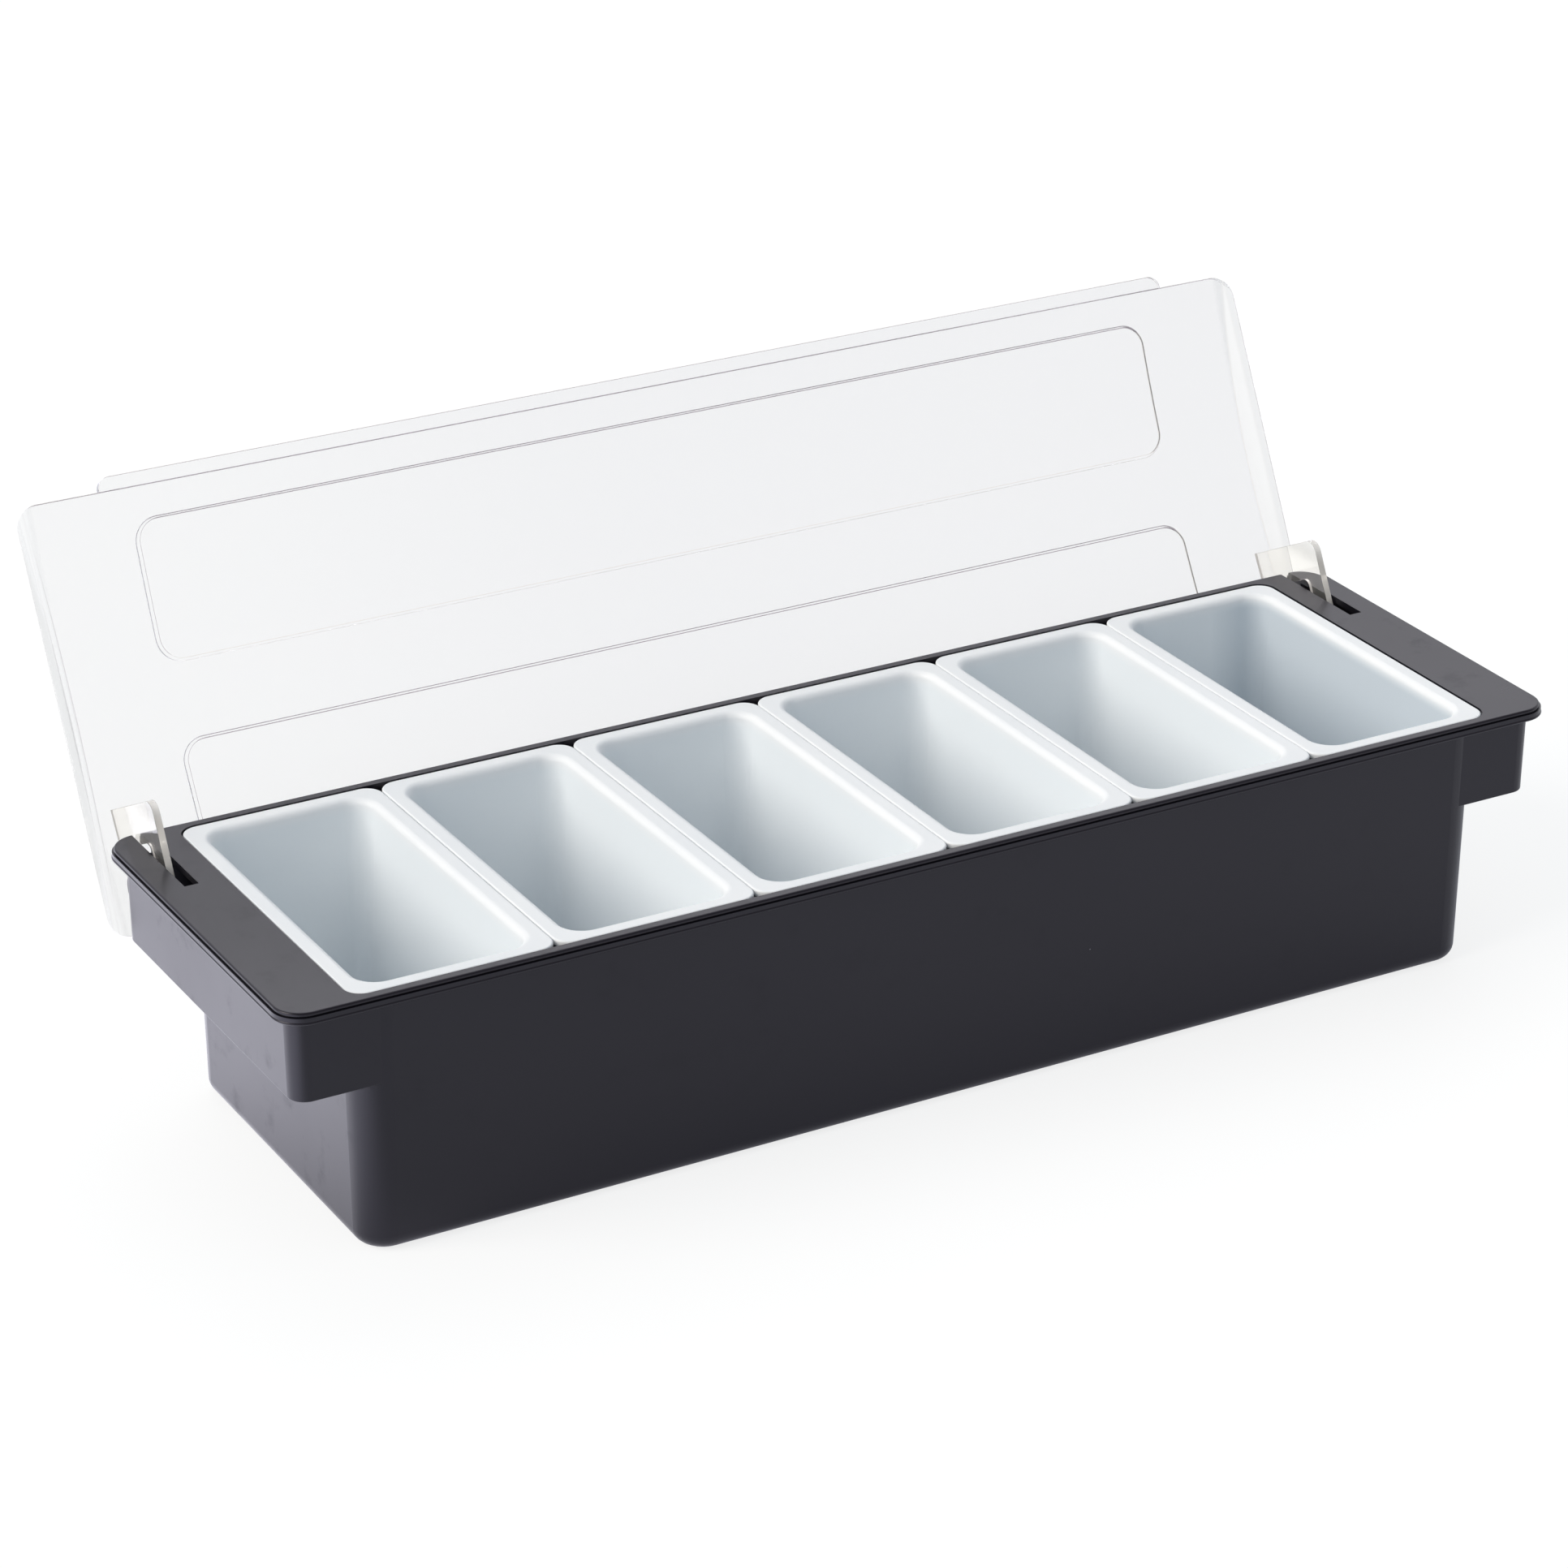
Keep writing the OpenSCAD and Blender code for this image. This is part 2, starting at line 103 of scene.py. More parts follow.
def specks(tree: bpy.types.NodeTree, where: bpy.types.NodeSocket, apart_mm: float,
           size_mm: float, share: float) -> bpy.types.NodeSocket:
    """Sprinkles sparse round specks through space.

    A speck sits in the middle of a random cell: it is 1 where the distance to the
    cell's point is below the speck's radius, and only in the given share of cells.

    Args:
        tree: the material's node tree.
        where: the coordinate that places them.
        apart_mm: mean distance between cells.
        size_mm: radius of a speck.
        share: part of the cells that has one.

    Returns:
        A value that is 1 on a speck and 0 elsewhere.
    """
    cells = add_node(tree, "ShaderNodeTexVoronoi", {"Vector": where},
                     {"Scale": 1.0 / (apart_mm * MM)})
    tone = add_node(tree, "ShaderNodeSeparateColor", {0: cells.outputs["Color"]})
    near = add_node(tree, "ShaderNodeMath", {0: cells.outputs["Distance"]},
                    {1: size_mm / apart_mm}, operation="LESS_THAN")
    kept = add_node(tree, "ShaderNodeMath", {0: tone.outputs[0]}, {1: share},
                    operation="LESS_THAN")
    return add_node(tree, "ShaderNodeMath", {0: near.outputs[0], 1: kept.outputs[0]},
                    operation="MULTIPLY").outputs[0]


def spread(tree: bpy.types.NodeTree, value: bpy.types.NodeSocket, low: float,
           high: float) -> bpy.types.NodeSocket:
    """Spreads the middle of a noise over a range.

    Args:
        tree: the material's node tree.
        value: the noise, mostly between NOISE_LOW and NOISE_HIGH.
        low: result where the noise is NOISE_LOW.
        high: result where it is NOISE_HIGH.

    Returns:
        The spread value.
    """
    return add_node(tree, "ShaderNodeMapRange", {"Value": value},
                    {"From Min": NOISE_LOW, "From Max": NOISE_HIGH,
                     "To Min": low, "To Max": high}).outputs["Result"]


def mix_colour(tree: bpy.types.NodeTree, factor: bpy.types.NodeSocket,
               first: str, second: str) -> bpy.types.NodeSocket:
    """Blends two sRGB colours.

    Args:
        tree: the material's node tree.
        factor: 0 gives the first colour, 1 the second.
        first: sRGB hex.
        second: sRGB hex.

    Returns:
        The blended colour.
    """
    node = add_node(tree, "ShaderNodeMix", {0: factor}, data_type="RGBA")
    node.inputs[6].default_value = linear(first)
    node.inputs[7].default_value = linear(second)
    return node.outputs[2]


@dataclass(frozen=True)
class TrayPlastic:
    """Black ABS, injection-moulded in a finely polished steel mould.

    The pigment is nearly black with a trace of violet, so what the eye sees is mostly
    the satin surface: the white room, dim where a wall is met head on and bright at a
    glancing angle, with a soft ripple of the mould, small rubbed patches and a few
    light specks of dust.
    """

    base: str = "121117"
    dust: str = "8a8890"
    sheen: str = "f1effc"
    roughness: float = 0.3
    ior: float = 1.47
    grain_mm: float = 0.5
    grain_deep_mm: float = 0.1
    grain_strength: float = 0.05
    ripple_mm: float = 70.0
    ripple_gloss: float = 0.03
    rub_mm: float = 16.0
    rub_noise: tuple[float, float] = (0.56, 0.7)
    rub_gloss: float = 0.09
    dust_apart_mm: float = 14.0
    dust_mm: float = 0.22
    dust_share: float = 0.12

    def build(self) -> bpy.types.Material:
        """Builds the material.

        Returns:
            The finished material.
        """
        material, tree = new_material("tray_abs_satin")
        where = add_node(tree, "ShaderNodeTexCoord").outputs["Object"]
        grain = add_node(tree, "ShaderNodeTexNoise", {"Vector": where},
                         {"Scale": 1.0 / (self.grain_mm * MM), "Detail": 2.0})
        ripple = add_node(tree, "ShaderNodeTexNoise", {"Vector": where},
                          {"Scale": 1.0 / (self.ripple_mm * MM), "Detail": 3.0})
        gloss = spread(tree, ripple.outputs["Fac"],
                       self.roughness - self.ripple_gloss,
                       self.roughness + self.ripple_gloss)
        rub = add_node(tree, "ShaderNodeTexNoise", {"Vector": where},
                       {"Scale": 1.0 / (self.rub_mm * MM), "Detail": 5.0,
                        "Roughness": 0.65})
        worn = add_node(tree, "ShaderNodeMapRange", {"Value": rub.outputs["Fac"]},
                        {"From Min": self.rub_noise[0],
                         "From Max": self.rub_noise[1], "To Max": self.rub_gloss})
        rough = add_node(tree, "ShaderNodeMath", {0: gloss, 1: worn.outputs["Result"]},
                         operation="ADD")
        bump = add_node(tree, "ShaderNodeBump", {"Height": grain.outputs["Fac"]},
                        {"Strength": self.grain_strength,
                         "Distance": self.grain_deep_mm * MM})
        dust = specks(tree, where, self.dust_apart_mm, self.dust_mm,
                      self.dust_share)
        shader = add_node(tree, "ShaderNodeBsdfPrincipled",
                          {"Roughness": rough.outputs[0],
                           "Normal": bump.outputs["Normal"],
                           "Base Color": mix_colour(tree, dust, self.base, self.dust)},
                          {"IOR": self.ior, "Specular Tint": linear(self.sheen)})
        add_node(tree, "ShaderNodeOutputMaterial", {"Surface": shader.outputs["BSDF"]})
        return material


@dataclass(frozen=True)
class InsertPlastic:
    """White polypropylene, injection-moulded.

    Light sinks in a little and comes back cool, so shaded walls turn blue-grey, and
    the rolled rims carry a soft highlight.  On the walls that hang in the tray this
    cool tone is painted shade, and the row's right end wall gets a darker painted
    shade.  A very faint mottle of flow marks and a rare grey speck keep the walls
    from looking computed.
    """

    base: str = "f6f6f7"
    shade: str = "f2f3f5"
    # painted shade colour of the walls that hang in the tray
    painted_hang_shade: str = "eff3f6"
    # painted shade colour of the row's right end wall
    painted_end_wall_shade: str = "cdd5dc"
    speck: str = "8f979c"
    roughness: float = 0.5
    ior: float = 1.49
    flow_mm: float = 40.0
    flow_gloss: float = 0.04
    speck_apart_mm: float = 22.0
    speck_mm: float = 0.35
    speck_share: float = 0.04
    mouth: tuple[float, float] = (0.0975, 0.0925)
    outer_wall: tuple[float, float] = (0.196, 0.212)

    def build(self) -> bpy.types.Material:
        """Builds the material.

        Returns:
            The finished material.
        """
        material, tree = new_material("insert_polypropylene")
        where = add_node(tree, "ShaderNodeTexCoord").outputs["Object"]
        flow = add_node(tree, "ShaderNodeTexNoise", {"Vector": where},
                        {"Scale": 1.0 / (self.flow_mm * MM), "Detail": 3.0})
        gloss = spread(tree, flow.outputs["Fac"], self.roughness - self.flow_gloss,
                       self.roughness + self.flow_gloss)
        cloud_and_painted_shade = spread(tree, flow.outputs["Fac"], 0.0, 1.0)
        dots = specks(tree, where, self.speck_apart_mm, self.speck_mm,
                      self.speck_share)
        plain = mix_colour(tree, cloud_and_painted_shade, self.base, self.shade)
        below, end_wall_shade_mask = self._depth(tree, where)
        # painted shade: the walls below the mouth get a cooler colour
        painted_hang_shade = add_node(tree, "ShaderNodeMix", {0: below, 6: plain}, data_type="RGBA")
        painted_hang_shade.inputs[7].default_value = linear(self.painted_hang_shade)
        # painted shade: the row's right end wall gets a darker blue-grey
        painted_end_wall_shade = add_node(tree, "ShaderNodeMix", {0: end_wall_shade_mask, 6: painted_hang_shade.outputs[2]},
                          data_type="RGBA")
        painted_end_wall_shade.inputs[7].default_value = linear(self.painted_end_wall_shade)
        mixed = add_node(tree, "ShaderNodeMix", {0: dots, 6: painted_end_wall_shade.outputs[2]},
                         data_type="RGBA")
        mixed.inputs[7].default_value = linear(self.speck)
        shader = add_node(tree, "ShaderNodeBsdfPrincipled",
                          {"Roughness": gloss, "Base Color": mixed.outputs[2]},
                          {"IOR": self.ior})
        add_node(tree, "ShaderNodeOutputMaterial", {"Surface": shader.outputs["BSDF"]})
        return material

    def _depth(self, tree: bpy.types.NodeTree, where: bpy.types.NodeSocket
               ) -> tuple[bpy.types.NodeSocket, bpy.types.NodeSocket]:
        """Marks where shade is painted: the walls that hang in the black tray, and the
        row's right end wall.

        Light that sinks into a hanging wall is lost in the tray, so it comes back
        cooler than from the rim; this cool tone is painted into the colour as shade.
        The end wall has the tray right behind it, where the others have a white
        neighbour, and gets a darker painted shade.  The first mark is a ramp down from
        the mouth, the second is that ramp times one along X across the end wall.

        Args:
            tree: the material's node tree.
            where: Object coordinates.

        Returns:
            The mark of the painted shade on all hanging walls and that of the darker
            painted shade on the end wall, each 0 to 1.
        """
        axes = add_node(tree, "ShaderNodeSeparateXYZ", {0: where})
        down = add_node(tree, "ShaderNodeMapRange", {"Value": axes.outputs["Z"]},
                        {"From Min": self.mouth[0], "From Max": self.mouth[1]},
                        interpolation_type="SMOOTHSTEP")
        across = add_node(tree, "ShaderNodeMapRange", {"Value": axes.outputs["X"]},
                          {"From Min": self.outer_wall[0],
                           "From Max": self.outer_wall[1]})
        wall = add_node(tree, "ShaderNodeMath", {0: across.outputs["Result"],
                                                 1: down.outputs["Result"]},
                        operation="MULTIPLY")
        return down.outputs["Result"], wall.outputs[0]


@dataclass(frozen=True)
class ClearPlastic:
    """Clear polycarbonate, moulded thin and polished.

    A flat wall of it only greys the view a little.  Its edges, steps and corners bend
    the view to the dimmer room, and this is drawn as thin lines of painted reflection:
    violet on the sides toward the upper left and beige, fainter, on those toward the
    lower right.  On the end walls, whose light runs on inside the sheet, that light is
    painted: they are made milky and more see-through, the left one more so.  On a
    hook, the part deep in the tray shows fully, and a cream glow is painted on its
    narrow faces, which are made less clear.

    Alpha is how much of the sheet shows (cover), and clear is how much of that is
    glass.  end_wall is for the lid and hook for the arms; the other is None.
    """

    name: str = "lid_polycarbonate"
    tint: str = "ffffff"
    # painted shade colour, which the lid reaches from its left end to the middle
    haze_and_painted_shade: str = "fafafb"
    # painted reflection: colours of the lines along edges and steps
    edge: str = "6e5a6a"
    edge_far: str = "cdbcae"
    clear: float = 0.94
    cover: float = 1.0
    # painted light on the lid's end walls: milkiness and see-through share
    end_clear: float = 0.6
    end_cover: tuple[float, float] = (0.2, 0.5)
    roughness: float = 0.02
    ior: float = 1.5
    haze_mm: float = 160.0
    painted_shade_along: tuple[float, float] = (-0.25, 0.0)
    gloss_share: tuple[float, float] = (0.5, 1.5)
    edge_mm: float = 0.38
    edge_samples: int = 6
    edge_turn: tuple[float, float] = (0.995, 0.96)
    edge_side: float = 0.05
    shade: float = 0.12
    outward: tuple[float, float, float] = (0.0, 0.881, -0.473)
    upper_left: tuple[float, float, float] = (-0.707, 0.334, 0.623)
    far_cover: float = 0.5
    end_wall: tuple[float, float] | None = (0.2435, 0.2465)
    hook: tuple[float, float] | None = None
    hook_cover: float = 1.0
    # painted glow colour of a hook's narrow faces
    cut: str = "fff7ee"
    cut_clear: float = 0.3
    cut_x: float = 0.5

    def build(self) -> bpy.types.Material:
        """Builds the material.

        Returns:
            The finished material.
        """
        material, tree = new_material(self.name)
        where = add_node(tree, "ShaderNodeTexCoord").outputs["Object"]
        haze_and_painted_shade = add_node(tree, "ShaderNodeTexNoise", {"Vector": where},
                        {"Scale": 1.0 / (self.haze_mm * MM), "Detail": 2.0})
        gloss = spread(tree, haze_and_painted_shade.outputs["Fac"],
                       self.roughness * self.gloss_share[0],
                       self.roughness * self.gloss_share[1])
        axes = add_node(tree, "ShaderNodeSeparateXYZ", {0: where})
        # painted shade: the lid's colour greys a little from its left end to the middle
        cloud_and_painted_shade = add_node(tree, "ShaderNodeMapRange", {"Value": axes.outputs["X"]},
                         {"From Min": self.painted_shade_along[0],
                          "From Max": self.painted_shade_along[1]},
                         interpolation_type="SMOOTHSTEP").outputs["Result"]
        rounded = add_node(tree, "ShaderNodeBevel",
                           values={"Radius": self.edge_mm * MM},
                           samples=self.edge_samples).outputs[0]
        line, colour, far = self._lines(tree, rounded)
        # painted reflection: the line colours are mixed into the base colour
        mixed = add_node(tree, "ShaderNodeMix",
                         {0: line, 6: mix_colour(tree, cloud_and_painted_shade, self.tint, self.haze_and_painted_shade),
                          7: colour}, data_type="RGBA")
        shader = add_node(tree, "ShaderNodeBsdfPrincipled",
                          {"Roughness": gloss, "Base Color": mixed.outputs[2],
                           "Normal": rounded},
                          {"IOR": self.ior, "Transmission Weight": self.clear})
        # the lower-right lines of painted reflection are made more see-through
        pale = add_node(tree, "ShaderNodeMapRange", {"Value": far},
                        {"To Min": 1.0, "To Max": self.far_cover})
        sheet = add_node(tree, "ShaderNodeMath", {0: self._veil(tree),
                                                  1: pale.outputs["Result"]},
                         operation="MULTIPLY")
        veil = add_node(tree, "ShaderNodeMath", {0: sheet.outputs[0]}, {1: self.cover},
                        operation="MULTIPLY")
        if self.end_wall:
            self._pale_ends(tree, axes.outputs["X"], shader, veil)
        if self.hook:
            self._show_hook(tree, axes.outputs["Z"], shader, veil)
        tree.links.new(veil.outputs[0], shader.inputs["Alpha"])
        add_node(tree, "ShaderNodeOutputMaterial", {"Surface": shader.outputs["BSDF"]})
        return material

    def _pale_ends(self, tree: bpy.types.NodeTree, along: bpy.types.NodeSocket,
                   shader: bpy.types.Node, veil: bpy.types.Node) -> None:
        """Paints light on the lid's end walls: milkier, and more see-through at the
        left.

        Args:
            tree: the material's node tree.
            along: the X of Object coordinates.
            shader: the plastic's shader.
            veil: the product whose second factor is the cover.
        """
        ends = self._ends(tree, along)
        # painted light: the end walls turn milky and show less, the left one least
        painted_milkiness = add_node(tree, "ShaderNodeMapRange", {"Value": ends},
                        {"To Min": self.clear, "To Max": self.end_clear})
        tree.links.new(painted_milkiness.outputs["Result"], shader.inputs["Transmission Weight"])
        which = add_node(tree, "ShaderNodeMapRange", {"Value": along},
                         {"From Min": -self.end_wall[0], "From Max": self.end_wall[0],
                          "To Min": self.end_cover[0], "To Max": self.end_cover[1]})
        thin = add_node(tree, "ShaderNodeMapRange",
                        {"Value": ends, "To Max": which.outputs["Result"]},
                        {"To Min": self.cover})
        tree.links.new(thin.outputs["Result"], veil.inputs[1])

    def _show_hook(self, tree: bpy.types.NodeTree, height: bpy.types.NodeSocket,
                   shader: bpy.types.Node, veil: bpy.types.Node) -> None:
        """Shows a hook's deep part fully and paints a cream glow on its narrow faces.

        Args:
            tree: the material's node tree.
            height: the Z of Object coordinates.
            shader: the plastic's shader, with its colour already linked.
            veil: the product whose second factor is the cover.
        """
        deep = add_node(tree, "ShaderNodeMapRange", {"Value": height},
                        {"From Min": self.hook[0], "From Max": self.hook[1],
                         "To Min": self.cover, "To Max": self.hook_cover},
                        interpolation_type="SMOOTHSTEP")
        tree.links.new(deep.outputs["Result"], veil.inputs[1])
        cut = self._cut_faces(tree)
        plain = shader.inputs["Base Color"].links[0].from_socket
        # painted glow: the narrow faces turn cream and less clear
        cream = add_node(tree, "ShaderNodeMix", {0: cut, 6: plain}, data_type="RGBA")
        cream.inputs[7].default_value = linear(self.cut)
        painted_milkiness = add_node(tree, "ShaderNodeMapRange", {"Value": cut},
                        {"To Min": self.clear, "To Max": self.cut_clear})
        tree.links.new(cream.outputs[2], shader.inputs["Base Color"])
        tree.links.new(painted_milkiness.outputs["Result"], shader.inputs["Transmission Weight"])

    def _veil(self, tree: bpy.types.NodeTree) -> bpy.types.NodeSocket:
        """Lets lamp light and soft room light through, as the real sheet does, because
        the renderer would stop both at a refracting wall.

        Args:
            tree: the material's node tree.

        Returns:
            1 to the eye, and the sheet's own faint shade to light on its way.
        """
        ray = add_node(tree, "ShaderNodeLightPath").outputs
        light = add_node(tree, "ShaderNodeMath", {0: ray["Is Shadow Ray"],
                                                  1: ray["Is Diffuse Ray"]},
                         operation="MAXIMUM")
        return add_node(tree, "ShaderNodeMapRange", {"Value": light.outputs[0]},
                        {"To Min": 1.0, "To Max": self.shade}).outputs["Result"]

    def _lines(self, tree: bpy.types.NodeTree, rounded: bpy.types.NodeSocket
               ) -> tuple[bpy.types.NodeSocket, ...]:
        """Finds the lines along edges and steps, and the colour that each gathers.

        The lines are painted reflection.  A line is where the rounded normal turns away
        from the face's own.  Its colour follows the way that the edge faces: the
        rounded normal's share toward the upper left, with its sign turned round on the
        lid's inner face, where a raised panel is a hollow.

        Args:
            tree: the material's node tree.
            rounded: the normal with its edges rounded.

        Returns:
            The line, 1 on an edge and 0 on a flat face, its painted colour, and the
            part of the line that faces the lower right.
        """
        flat = add_node(tree, "ShaderNodeNewGeometry").outputs["Normal"]
        turned = add_node(tree, "ShaderNodeVectorMath", {0: rounded, 1: flat},
                          operation="DOT_PRODUCT")
        size = add_node(tree, "ShaderNodeMath", {0: turned.outputs["Value"]},
                        operation="ABSOLUTE")
        line = add_node(tree, "ShaderNodeMapRange", {"Value": size.outputs[0]},
                        {"From Min": self.edge_turn[0],
                         "From Max": self.edge_turn[1]})
        aside = add_node(tree, "ShaderNodeVectorMath", {0: rounded},
                         {1: self.upper_left}, operation="DOT_PRODUCT")
        face = add_node(tree, "ShaderNodeVectorMath", {0: rounded},
                        {1: self.outward}, operation="DOT_PRODUCT")
        sign = add_node(tree, "ShaderNodeMath", {0: face.outputs["Value"]},
                        operation="SIGN")
        side = add_node(tree, "ShaderNodeMath", {0: aside.outputs["Value"],
                                                 1: sign.outputs[0]},
                        operation="MULTIPLY")
        away = add_node(tree, "ShaderNodeMapRange", {"Value": side.outputs[0]},
                        {"From Min": self.edge_side,
                         "From Max": -self.edge_side}).outputs["Result"]
        far = add_node(tree, "ShaderNodeMath", {0: line.outputs["Result"], 1: away},
                       operation="MULTIPLY")
        return (line.outputs["Result"],
                mix_colour(tree, away, self.edge, self.edge_far), far.outputs[0])

    def _cut_faces(self, tree: bpy.types.NodeTree) -> bpy.types.NodeSocket:
        """Marks the narrow faces round a plate that stands across the row.

        The mark gets a painted cream glow and less clear glass, standing in for light.
        The mark is 1 where the face's normal has little of X in it.

        Args:
            tree: the material's node tree.

        Returns:
            1 on the narrow faces and 0 on the broad ones.
        """
        way = add_node(tree, "ShaderNodeSeparateXYZ",
                       {0: add_node(tree, "ShaderNodeNewGeometry").outputs["Normal"]})
        broad = add_node(tree, "ShaderNodeMath", {0: way.outputs["X"]},
                         operation="ABSOLUTE")
        return add_node(tree, "ShaderNodeMath", {0: broad.outputs[0]},
                        {1: self.cut_x}, operation="LESS_THAN").outputs[0]

    def _ends(self, tree: bpy.types.NodeTree,
              along: bpy.types.NodeSocket) -> bpy.types.NodeSocket:
        """Marks the lid's two leaning end walls with a ramp along X beyond their inner
        faces.

        Args:
            tree: the material's node tree.
            along: the X of Object coordinates.

        Returns:
            1 on the end walls and 0 elsewhere.
        """
        side = add_node(tree, "ShaderNodeMath", {0: along}, operation="ABSOLUTE")
        return add_node(tree, "ShaderNodeMapRange", {"Value": side.outputs[0]},
                        {"From Min": self.end_wall[0], "From Max": self.end_wall[1]},
                        interpolation_type="SMOOTHSTEP").outputs["Result"]


def dress(node: str, material: bpy.types.Material) -> bpy.types.Object:
    """Gives a CAD node its material.

    Args:
        node: the CAD node's name.
        material: what it is made of.

    Returns:
        The node's object.
    """
    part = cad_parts[node]
    part.data.materials.clear()
    part.data.materials.append(material)
    return part


@dataclass
class Tray:
    """The black tray: tub, flange and the two end skirts that serve as grips."""

    node: str = "tray"
    finish: TrayPlastic = TrayPlastic()

    def dress(self) -> list[bpy.types.Object]:
        """Gives the tray its plastic and returns it in a list."""
        return [dress(self.node, self.finish.build())]


@dataclass
class Inserts:
    """The row of white cups."""

    count: int = 6
    finish: InsertPlastic = InsertPlastic()

    def dress(self) -> list[bpy.types.Object]:
        """Gives all cups one plastic and returns them from the left."""
        plastic = self.finish.build()
        return [dress(f"insert_{place}", plastic)
                for place in range(1, self.count + 1)]


@dataclass
class Lid:
    """The clear lid with its two raised panels and its finger lip."""

    node: str = "lid"
    finish: ClearPlastic = ClearPlastic()

    def dress(self) -> list[bpy.types.Object]:
        """Gives the lid its plastic and returns it in a list."""
        return [dress(self.node, self.finish.build())]


@dataclass
class HingeArms:
    """The two clear hooks that carry the lid, paler than the lid, with warm lines of
    painted reflection at the edges and a painted cream glow on their narrow faces."""

    nodes: tuple[str, ...] = ("hinge_arm_left", "hinge_arm_right")
    finish: ClearPlastic = ClearPlastic(
        name="arm_polycarbonate", tint="fffdf8", haze_and_painted_shade="fffdf8", edge="b5a8ae",
        edge_far="ece0d2", clear=0.96, cover=0.6, end_wall=None,
        hook=(0.116, 0.106))

    def dress(self) -> list[bpy.types.Object]:
        """Gives both arms one plastic and returns them from the left."""
        plastic = self.finish.build()
        return [dress(node, plastic) for node in self.nodes]


@dataclass(frozen=True)
class Sun:
    """A wide, soft sun, as even over the floor as a large far window.

    toward is where it stands, seen from the object, width its apparent width in
    degrees, power its light in watts per square metre and colour an sRGB hex.
    """

    name: str
    toward: tuple[float, float, float]
    width: float
    power: float
    colour: str

    def build(self) -> None:
        """Adds the lamp."""
        data = bpy.data.lights.new(self.name, "SUN")
        data.energy = self.power
        data.angle = math.radians(self.width)
        data.color = linear(self.colour)[:3]
        lamp = bpy.data.objects.new(self.name, data)
        bpy.context.scene.collection.objects.link(lamp)
        lamp.location = self.toward
        across, along, up = self.toward
        lamp.rotation_euler = (math.atan2(math.hypot(across, along), up), 0.0,
                               math.atan2(across, -along))


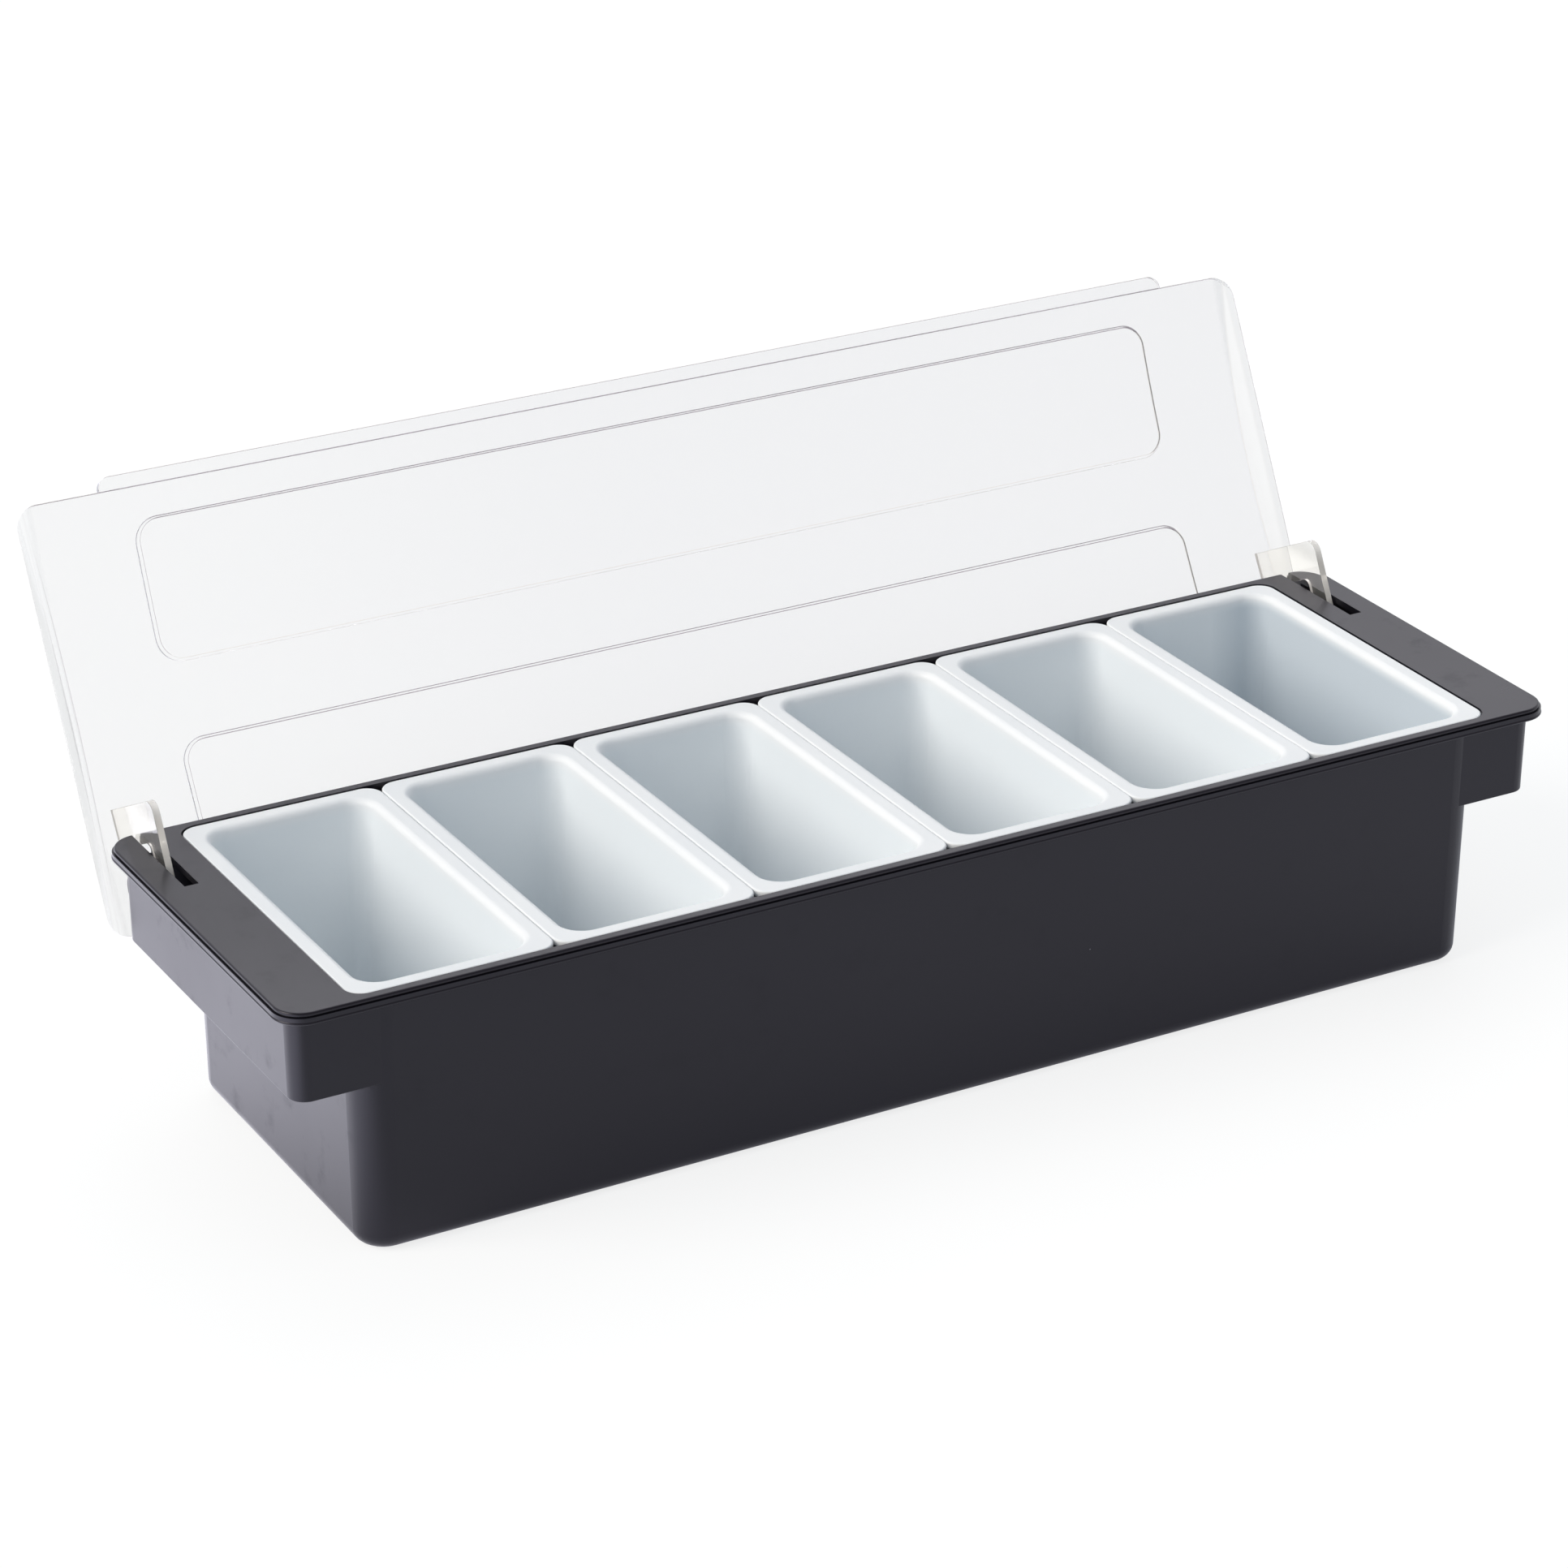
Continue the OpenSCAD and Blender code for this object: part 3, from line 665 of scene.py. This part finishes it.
@dataclass
class Studio:
    """White photographer's room: a floor, the world and two soft suns.

    The backdrop side of the room is white and the camera's side is dim, which draws
    the edges of clear plastic by refraction, on top of the reflection painted along
    them.
    """

    floor_size: float = 16.0
    floor_z: float = -0.0002
    paper: str = "cbcbcb"
    paper_seen: str = "8a8a8a"
    floor_glow: float = 0.8
    world_fill: float = 0.52
    fill_colour: str = "e8f2fa"
    backdrop_way: tuple[float, float, float] = (0.49, 0.87, 0.05)
    backdrop_ramp: tuple[float, float] = (-0.25, 0.55)
    dim_room: str = "9a9298"
    white_room: str = "faf9ff"
    painted_pool_colour: str = "f1f0ff"
    # painted pool of light on the floor, seen only in reflections
    painted_pool_way: tuple[float, float, float] = (-0.8, 0.6, 0.0)
    painted_pool_ramp: tuple[float, float] = (0.08, 0.26)
    painted_pool_glow: tuple[float, float] = (0.38, 1.9)
    suns: tuple[Sun, ...] = (
        Sun("sun_left", (-0.84, 0.05, 0.54), 40.0, 2.0, "fff9f0"),
        Sun("sun_back", (0.30, 0.62, 0.75), 50.0, 0.5, "ffffff"))

    def build(self) -> None:
        """Builds floor, world and lamps."""
        self._world()
        self._floor()
        for sun in self.suns:
            sun.build()

    def _world(self) -> None:
        """White to the camera, white to dim by direction in mirrors and glass, and a
        mild even fill on everything else."""
        world = bpy.data.worlds.new("white_room")
        bpy.context.scene.world = world
        world.use_nodes = True
        tree = world.node_tree
        tree.nodes.clear()
        ray = add_node(tree, "ShaderNodeLightPath").outputs
        way = add_node(tree, "ShaderNodeTexCoord").outputs["Generated"]
        toward = add_node(tree, "ShaderNodeVectorMath", {0: way},
                          {1: self.backdrop_way}, operation="DOT_PRODUCT")
        bright = add_node(tree, "ShaderNodeMapRange",
                          {"Value": toward.outputs["Value"]},
                          {"From Min": self.backdrop_ramp[0],
                           "From Max": self.backdrop_ramp[1]},
                          interpolation_type="SMOOTHSTEP")
        room = mix_colour(tree, bright.outputs["Result"], self.dim_room,
                          self.white_room)
        mirrored = add_node(tree, "ShaderNodeMath", {0: ray["Is Glossy Ray"],
                                                     1: ray["Is Transmission Ray"]},
                            operation="MAXIMUM")
        colour = add_node(tree, "ShaderNodeMix", {0: mirrored.outputs[0], 7: room},
                          data_type="RGBA")
        colour.inputs[6].default_value = linear(self.fill_colour)
        seen = add_node(tree, "ShaderNodeMath", {0: mirrored.outputs[0],
                                                 1: ray["Is Camera Ray"]},
                        operation="MAXIMUM")
        strength = add_node(tree, "ShaderNodeMapRange", {"Value": seen.outputs[0]},
                            {"To Min": self.world_fill, "To Max": 1.0})
        sky = add_node(tree, "ShaderNodeBackground",
                       {"Strength": strength.outputs["Result"],
                        "Color": colour.outputs[2]})
        add_node(tree, "ShaderNodeOutputWorld", {"Surface": sky.outputs["Background"]})

    def _floor(self) -> None:
        """White floor that shows as the room's white and keeps a faint shadow.

        To camera and glass it is a dim white paper plus a glow that fills it up to
        white.  To the tray's satin faces it shows a painted pool of light: a glow that
        is brighter at the left end, standing in for the table under the lamp there.
        """
        half = self.floor_size / 2
        mesh = bpy.data.meshes.new("floor")
        mesh.from_pydata([(-half, -half, self.floor_z), (half, -half, self.floor_z),
                          (half, half, self.floor_z), (-half, half, self.floor_z)],
                         [], [(0, 1, 2, 3)])
        floor = bpy.data.objects.new("floor", mesh)
        bpy.context.scene.collection.objects.link(floor)
        material, tree = new_material("floor")
        ray = add_node(tree, "ShaderNodeLightPath").outputs
        seen = add_node(tree, "ShaderNodeMath", {0: ray["Is Camera Ray"],
                                                 1: ray["Is Transmission Ray"]},
                        operation="MAXIMUM").outputs[0]
        paper = add_node(tree, "ShaderNodeBsdfDiffuse",
                         {"Color": mix_colour(tree, seen, self.paper, self.paper_seen)})
        # painted pool of light: in reflections the floor glows brighter toward the left
        # end
        where = add_node(tree, "ShaderNodeTexCoord").outputs["Object"]
        along = add_node(tree, "ShaderNodeVectorMath", {0: where},
                         {1: self.painted_pool_way}, operation="DOT_PRODUCT")
        left = add_node(tree, "ShaderNodeMapRange", {"Value": along.outputs["Value"]},
                        {"From Min": self.painted_pool_ramp[0],
                         "From Max": self.painted_pool_ramp[1],
                         "To Min": self.painted_pool_glow[0], "To Max": self.painted_pool_glow[1]},
                        interpolation_type="SMOOTHSTEP")
        glow = add_node(tree, "ShaderNodeMapRange",
                        {"Value": seen, "To Min": left.outputs["Result"]},
                        {"To Max": self.floor_glow})
        any_seen = add_node(tree, "ShaderNodeMath", {0: seen, 1: ray["Is Glossy Ray"]},
                            operation="MAXIMUM")
        power = add_node(tree, "ShaderNodeMath", {0: glow.outputs["Result"],
                                                  1: any_seen.outputs[0]},
                         operation="MULTIPLY")
        light = add_node(tree, "ShaderNodeEmission",
                         {"Strength": power.outputs[0],
                          "Color": mix_colour(tree, seen, self.painted_pool_colour, "ffffff")})
        both = add_node(tree, "ShaderNodeAddShader", {0: paper.outputs[0],
                                                      1: light.outputs[0]})
        add_node(tree, "ShaderNodeOutputMaterial", {"Surface": both.outputs[0]})
        mesh.materials.append(material)


@dataclass
class Camera:
    """The photograph's camera: a long lens from the left front, looking down."""

    at: tuple[float, float, float] = (-0.7924, -1.3573, 0.8249)
    yaw: float = 29.44
    pitch: float = 24.965
    roll: float = 0.065
    lens: float = 113.09
    sensor: float = 36.0
    reach: float = 50.0

    def build(self) -> None:
        """Places the camera and makes it the scene's."""
        data = bpy.data.cameras.new("camera")
        data.sensor_fit = "HORIZONTAL"
        data.sensor_width = self.sensor
        data.lens = self.lens
        data.clip_end = self.reach
        camera = bpy.data.objects.new("camera", data)
        bpy.context.scene.collection.objects.link(camera)
        turn = (Matrix.Rotation(math.radians(-self.yaw), 3, "Z")
                @ Matrix.Rotation(math.radians(90.0 - self.pitch), 3, "X")
                @ Matrix.Rotation(math.radians(self.roll), 3, "Z"))
        camera.location = self.at
        camera.rotation_euler = turn.to_euler()
        bpy.context.scene.camera = camera


def main() -> None:
    """Builds the classes in order and reports each piece."""
    logging.basicConfig(level=logging.INFO, format="%(name)s: %(message)s")
    bpy.context.scene.view_settings.view_transform = "Standard"
    for assembly in (Tray(), Inserts(), Lid(), HingeArms()):
        for piece in assembly.dress():
            LOG.info("%s: %d triangles of %s", piece.name, len(piece.data.polygons),
                     piece.data.materials[0].name)
    Studio().build()
    LOG.info("studio: floor, world and two suns")
    Camera().build()
    LOG.info("camera: placed")


if __name__ == "__main__":
    main()
